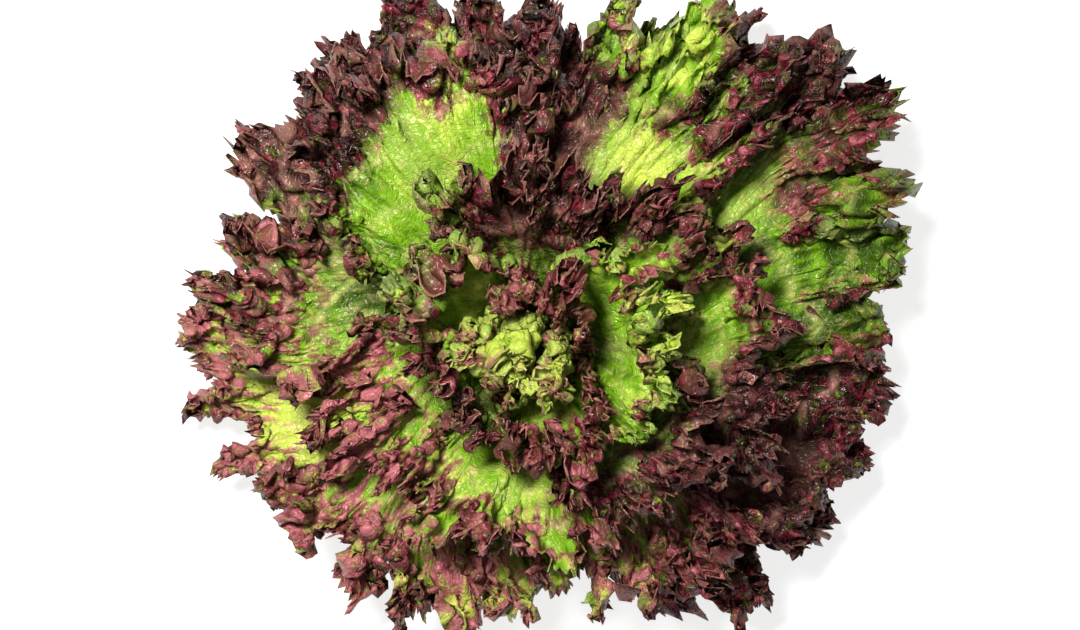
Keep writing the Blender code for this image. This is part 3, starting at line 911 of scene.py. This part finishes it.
# %% Group: leaf tissue
def leaf_tissue_group():
    """From red, tone, tint and vein values, which carry painted shade and a painted rim light, to a
    colour, the colour of light through it, gloss and height.
    """
    tree = bpy.data.node_groups.new("leaf_tissue", "ShaderNodeTree")
    for name in ("Red", "Tone_and_painted_shade", "Tint", "Vein_and_painted_rim_light", "Underside"):
        tree.interface.new_socket(name=name, in_out="INPUT", socket_type="NodeSocketFloat")
    for name in ("Place", "Blade"):
        tree.interface.new_socket(name=name, in_out="INPUT", socket_type="NodeSocketVector")
    for name in ("Color", "Through"):
        tree.interface.new_socket(name=name, in_out="OUTPUT", socket_type="NodeSocketColor")
    for name in ("Roughness", "Height"):
        tree.interface.new_socket(name=name, in_out="OUTPUT", socket_type="NodeSocketFloat")
    given = tree.nodes.new("NodeGroupInput").outputs
    put = tree.nodes.new("NodeGroupOutput")

    stretch = {0: given["Blade"], 1: (1.0, 0.35, 1.0)}
    lengthways = add_node(tree, "ShaderNodeVectorMath", stretch, operation="MULTIPLY").outputs[0]
    streaks = swung(tree, noise(tree, lengthways, STREAK_SCALE, 1.5), 0.6)
    grain = noise(tree, given["Place"], GRAIN_SCALE, 4.0)
    pucker = noise(tree, given["Place"], PUCKER_SCALE, 3.0, 0.6)
    values = {"Vector": given["Place"], "Scale": CELL_SCALE}
    cells = add_node(tree, "ShaderNodeTexVoronoi", values, feature="DISTANCE_TO_EDGE")
    net = stepped(tree, cells.outputs[0], 0.0, 0.10, 1.0, 0.0)

    tint_and_painted_shade = maths(tree, "ADD", given["Tint"], streaks)
    low = mixed(tree, stepped(tree, tint_and_painted_shade, 0.0, 0.55), DEEP_GREEN, FRESH_GREEN)
    green = mixed(tree, stepped(tree, tint_and_painted_shade, 0.5, 1.0), low, YELLOW_GREEN)
    # Painted shade and light: the tone is darkened in the hollows of the pucker bump and lightened on
    # its swellings; the streaks add the blade's own tone.
    swing = maths(tree, "ADD", swung(tree, pucker, 2.6), streaks)
    tone_and_painted_shade = maths(tree, "ADD", given["Tone_and_painted_shade"], swing)
    tone_and_painted_shade = add_node(tree, "ShaderNodeClamp", {"Value": tone_and_painted_shade}).outputs[0]
    bronze = mixed(tree, tone_and_painted_shade, DARK_BRONZE, PALE_BRONZE)
    wine = mixed(tree, stepped(tree, tone_and_painted_shade, 0.0, 0.60), NEARLY_BLACK, WINE_RED)
    burgundy = mixed(tree, stepped(tree, tone_and_painted_shade, 0.50, 1.25), wine, ROSE_AND_PAINTED_HIGHLIGHT)

    spotted = maths(tree, "ADD", given["Red"], swung(tree, grain, 0.9))
    spotted = maths(tree, "ADD", spotted, swung(tree, pucker, 2.0))
    warm = mixed(tree, stepped(tree, spotted, 0.15, 0.50, 0.0, 0.9), green, bronze)
    blade = mixed(tree, stepped(tree, spotted, 0.38, 0.75), warm, burgundy)
    pale = mixed(tree, stepped(tree, given["Red"], 0.3, 0.9), GREEN_VEIN_AND_PAINTED_RIM_LIGHT, PINK_VEIN_AND_PAINTED_RIM_LIGHT)
    # The veins, and the painted rim light along the margin.
    with_veins_and_painted_rim_light = mixed(tree, maths(tree, "MULTIPLY", given["Vein_and_painted_rim_light"], 0.75), blade, pale)
    netted = mixed(tree, maths(tree, "MULTIPLY", net, 0.12), with_veins_and_painted_rim_light, pale)
    dusty = mixed(tree, stepped(tree, given["Red"], 0.2, 0.8), DUSTY_GREEN, DUSTY_RED)
    skin = mixed(tree, maths(tree, "MULTIPLY", given["Underside"], 0.4), netted, dusty)

    raised = maths(tree, "ADD", pucker, maths(tree, "MULTIPLY", grain, 0.14))
    raised = maths(tree, "SUBTRACT", raised, maths(tree, "MULTIPLY", net, 0.12))
    tree.links.new(skin, put.inputs["Color"])
    tree.links.new(mixed(tree, 0.55, skin, SUNLIT_GREEN, "SOFT_LIGHT"), put.inputs["Through"])
    tree.links.new(stepped(tree, grain, 0.3, 0.7, 0.20, 0.38), put.inputs["Roughness"])
    tree.links.new(raised, put.inputs["Height"])
    return tree


leaf_tissue = leaf_tissue_group()
print("the leaf tissue group has", len(leaf_tissue.nodes), "nodes")

# %% [markdown]
# Each ring of leaves has a finish of its own: a satin skin with small highlights, mixed
# with translucent flesh. The flesh has a tenth of the mix on the outer leaves and about
# a fifth in the tender heart. Scattering inside the leaf would be slower to render and
# look the same at this thickness.

# %% Leaf finishes
LEAF_ATTRIBUTES = {"Red": "red", "Tone_and_painted_shade": "tone_and_painted_shade", "Tint": "tint_and_painted_shade", "Vein_and_painted_rim_light": "vein_and_painted_rim_light", "Underside": "under"}
RELIEF = 0.0026  # metres from the lowest to the highest of the pattern
SLOTS = {"outer": "burgundy_leaf", "middle": "russet_leaf", "inner": "heart_leaf"}
TRANSLUCENCE = {"outer": 0.10, "middle": 0.12, "inner": 0.22}
PUCKER_STRENGTH = {"outer": 0.7, "middle": 0.7, "inner": 0.6}


def leaf_finish(name, see_through, bump):
    """A satin skin mixed with translucent flesh by the share of light that goes through."""
    made = bpy.data.materials.new(name)
    made.use_nodes = True
    tree = made.node_tree
    tree.nodes.clear()
    put = tree.nodes.new("ShaderNodeOutputMaterial")
    tissue = tree.nodes.new("ShaderNodeGroup")
    tissue.node_tree = leaf_tissue
    for socket, attribute in LEAF_ATTRIBUTES.items():
        reader = add_node(tree, "ShaderNodeAttribute", attribute_name=attribute)
        tree.links.new(reader.outputs["Fac"], tissue.inputs[socket])
    blade = add_node(tree, "ShaderNodeUVMap", uv_map="blade")
    tree.links.new(blade.outputs[0], tissue.inputs["Blade"])
    place = add_node(tree, "ShaderNodeTexCoord")
    tree.links.new(place.outputs["Object"], tissue.inputs["Place"])
    relief = add_node(tree, "ShaderNodeBump", {
        "Height": tissue.outputs["Height"],
        "Strength": bump,
        "Distance": RELIEF,
    })
    skin = add_node(tree, "ShaderNodeBsdfPrincipled", {
        "Base Color": tissue.outputs["Color"],
        "Roughness": tissue.outputs["Roughness"],
        "Normal": relief.outputs[0],
    })
    skin.inputs["Specular IOR Level"].default_value = 0.55
    skin.inputs["Specular Tint"].default_value = (1.0, 0.70, 0.66, 1)
    flesh = add_node(tree, "ShaderNodeBsdfTranslucent", {
        "Color": tissue.outputs["Through"],
        "Normal": relief.outputs[0],
    })
    shares = {0: see_through, 1: skin.outputs[0], 2: flesh.outputs[0]}
    mix = add_node(tree, "ShaderNodeMixShader", shares)
    tree.links.new(mix.outputs[0], put.inputs["Surface"])
    return made


finishes = {}
for ring, slot in SLOTS.items():
    finishes[ring] = leaf_finish(slot, TRANSLUCENCE[ring], PUCKER_STRENGTH[ring])
print("the leaf finishes are", ", ".join(SLOTS.values()))

# %% [markdown]
# Now the leaves are made one by one, from the outermost to the heart, and each takes the
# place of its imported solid. One leaf could be made and copied, but then every frill of
# the head would repeat, so each is worked out from its own place and draws.

# %% Leaves
BLADE_THICKNESS = 0.0006
EDGE_THICKNESS = 0.00035
VEIN_THICKNESS = 0.0004  # by which a side vein stands out below
MAP_SCALE = 10  # one unit of a leaf's map is a tenth of a metre


def make_leaf(facts):
    """One ruffled leaf: two skins either side of the fine surface. Gives its triangles."""
    ring, number = ring_of(facts["index"])
    facts["sides"] = even_sides(facts)
    facts["columns"] = MARGIN_COLUMNS[ring]
    facts["stations"] = frilled_stations(facts)
    facts["shares"] = ruffled_lengths(facts)
    column, out, counts = leaf_grid(facts)
    blocks = skin_faces(counts)
    middle = ruffled_blade(facts, column, out, counts)
    upright = mesh_normals(middle, blocks)
    blade = EDGE_THICKNESS + (BLADE_THICKNESS - EDGE_THICKNESS) * smooth_step(1.0, 0.8, out)
    rib = (float(rib_thickness(facts["layer"])) - BLADE_THICKNESS) * midrib(column, out)
    rib = rib + VEIN_THICKNESS * vein_lines(facts, column, out)
    upper = middle + upright * (0.5 * blade)[:, None]
    lower = middle - upright * (0.5 * blade + rib)[:, None]
    mesh = closed_leaf(f"{ring}_leaf_{number}", upper, lower, blocks, counts)
    colours = leaf_colours(facts, column, out, middle)
    values = {name: np.tile(array, 2) for name, array in colours.items()}
    values["under"] = np.repeat([0.0, 1.0], len(column))
    write_attributes(mesh, values)
    across, up = column * facts["margin_length"], metres_out(facts, column, out)
    write_uv(mesh, np.tile(across * MAP_SCALE, 2), np.tile(up * MAP_SCALE, 2))
    mesh.materials.append(finishes[ring])
    leaf = bpy.data.objects.new(f"{ring}_lettuce_leaf_{number:02d}", mesh)
    bpy.context.scene.collection.objects.link(leaf)
    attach(leaf, "root")
    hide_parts(f"{ring}_leaf_{number:02d}")
    return len(mesh.loops) - 2 * len(mesh.polygons)


triangles = sum(make_leaf(facts) for facts in leaves)
print("the leaves have", triangles, "triangles")
print("margins, frilled, in mm:", [round(facts["stations"][1][-1] * 1000) for facts in leaves])

# %% [markdown]
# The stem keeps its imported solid: between the leaves only its cone and its flat cut can
# be seen. Its flesh is pale green with fine fibres. At the cut its juice has dried to a
# rusty brown, which fades within a few millimetres.

# %% Stem finish
RUST_HEIGHT = 0.004  # metres above the cut at which the rust ends
FIBRE_SCALE = 260.0
PALE_FLESH = ((0.60, 0.62, 0.36, 1), (0.70, 0.68, 0.48, 1))
RUSTY_CUT = ((0.30, 0.13, 0.045, 1), (0.52, 0.34, 0.16, 1))


def stem_finish():
    """Pale flesh with fine fibres, and a rusty cut."""
    made = bpy.data.materials.new("pale_stem")
    made.use_nodes = True
    tree = made.node_tree
    skin = tree.nodes["Principled BSDF"]
    place = add_node(tree, "ShaderNodeTexCoord")
    fibres = noise(tree, place.outputs["Object"], FIBRE_SCALE, 4.0)
    height = add_node(tree, "ShaderNodeSeparateXYZ", {"Vector": place.outputs["Object"]}).outputs[2]
    pale = mixed(tree, fibres, *PALE_FLESH)
    rust = mixed(tree, fibres, *RUSTY_CUT)
    near_cut = stepped(tree, height, 0.0, RUST_HEIGHT, 0.8, 0.0)
    tree.links.new(mixed(tree, near_cut, pale, rust), skin.inputs["Base Color"])
    tree.links.new(stepped(tree, fibres, 0.3, 0.7, 0.42, 0.62), skin.inputs["Roughness"])
    bumps = {"Height": fibres, "Strength": 0.4, "Distance": 0.0005}
    relief = add_node(tree, "ShaderNodeBump", bumps)
    tree.links.new(relief.outputs[0], skin.inputs["Normal"])
    return made


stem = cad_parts["stem"]
stem.data.materials.clear()
stem.data.materials.append(stem_finish())
print("the stem's cut is", round(2000 * STEM_CUT_RADIUS), "mm across")

# %% [markdown]
# The stage is a white floor in soft light, as in a catalogue. A soft light hangs over the
# head's upper left and gives the shadows between the frills. A wide weak one fills them
# from above, and the floor glows a little, so that it stays white round the head.

# %% Stage and light
FLOOR_HALF_WIDTH = 3.0  # metres
FLOOR_GREY = (0.4, 0.4, 0.4, 1)
FLOOR_GLOW = 0.80
WHITE = (1.0, 1.0, 1.0, 1.0)
SKY_STRENGTH = 0.01
LIT_PLACE = np.array((0, 0, 0.05))  # the middle of the head
LIGHTS = (  # (name, place and size in metres, watts)
    ("key_light", (-0.34, 0.38, 1.25), 0.36, 42.0),
    ("top_light", (0.10, -0.10, 1.45), 0.80, 2.0),
)


def make_floor():
    """A plain white plane, which isn't part of the head."""
    mesh = bpy.data.meshes.new("floor")
    reach = FLOOR_HALF_WIDTH
    corners = [(-reach, -reach, 0), (reach, -reach, 0), (reach, reach, 0), (-reach, reach, 0)]
    mesh.from_pydata(corners, [], [(0, 1, 2, 3)])
    finish = bpy.data.materials.new("white_floor")
    finish.use_nodes = True
    skin = finish.node_tree.nodes["Principled BSDF"]
    skin.inputs["Base Color"].default_value = FLOOR_GREY
    skin.inputs["Roughness"].default_value = 0.9
    skin.inputs["Emission Color"].default_value = WHITE
    skin.inputs["Emission Strength"].default_value = FLOOR_GLOW
    mesh.materials.append(finish)
    floor = bpy.data.objects.new("floor", mesh)
    bpy.context.scene.collection.objects.link(floor)
    floor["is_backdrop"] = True


def soft_light(name, place, size, power):
    """A square area light that looks at the head."""
    data = bpy.data.lights.new(name, "AREA")
    data.size = size
    data.energy = power
    lamp = bpy.data.objects.new(name, data)
    lamp.location = place
    direction = -np.array(place) + LIT_PLACE
    lamp.rotation_euler = (
        math.acos(-direction[2] / np.linalg.norm(direction)),
        0.0,
        math.atan2(-direction[0], direction[1]) + math.pi,
    )
    bpy.context.scene.collection.objects.link(lamp)


make_floor()
for light in LIGHTS:
    soft_light(*light)
world = bpy.data.worlds.new("surroundings")
world.use_nodes = True
sky = world.node_tree.nodes["Background"]
sky.inputs["Color"].default_value = WHITE
sky.inputs["Strength"].default_value = SKY_STRENGTH
bpy.context.scene.world = world
bpy.context.scene.view_settings.view_transform = "Standard"
print("the head is lit by", " and ".join(name for name, *_ in LIGHTS))

# %% [markdown]
# Last, the dressed head is measured, because a finish may not change an object's size,
# and the frame checks every piece.

# %% Sizes and finish
dressed_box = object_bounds()
dressed_size = [round((high - low) * 1000) for low, high in zip(*dressed_box)]
print("the dressed head measures", dressed_size, "mm")
